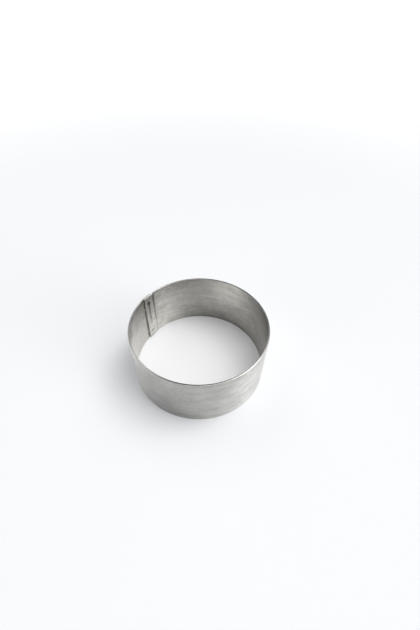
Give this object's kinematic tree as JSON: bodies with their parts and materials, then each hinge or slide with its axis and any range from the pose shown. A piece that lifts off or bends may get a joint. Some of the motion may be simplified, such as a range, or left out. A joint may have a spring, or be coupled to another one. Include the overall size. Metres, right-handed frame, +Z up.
{
  "type": "cake ring",
  "caption": "Open round ring of brushed steel sheet with a lapped, spot-welded seam, stood on a tray to shape cake, mousse or pastry and then lifted off.",
  "frame": {"origin": "on the ring's axis, in the plane of the lower rim", "axes": "+Z up along the ring's axis; +X to the right and +Y away from the viewer as the ring stands in the picture, with the lap at the rear left"},
  "size_m": [0.102, 0.102, 0.045],
  "materials": {
    "brushed_sheet": "satin stainless sheet with fine brush lines running round the ring",
    "weld_metal": "dull heat-darkened weld metal"
  },
  "bodies": {
    "root": {"rolled_band": "brushed_sheet", "spot_weld_1": "weld_metal", "spot_weld_2": "weld_metal", "spot_weld_3": "weld_metal"}
  },
  "joints": []
}
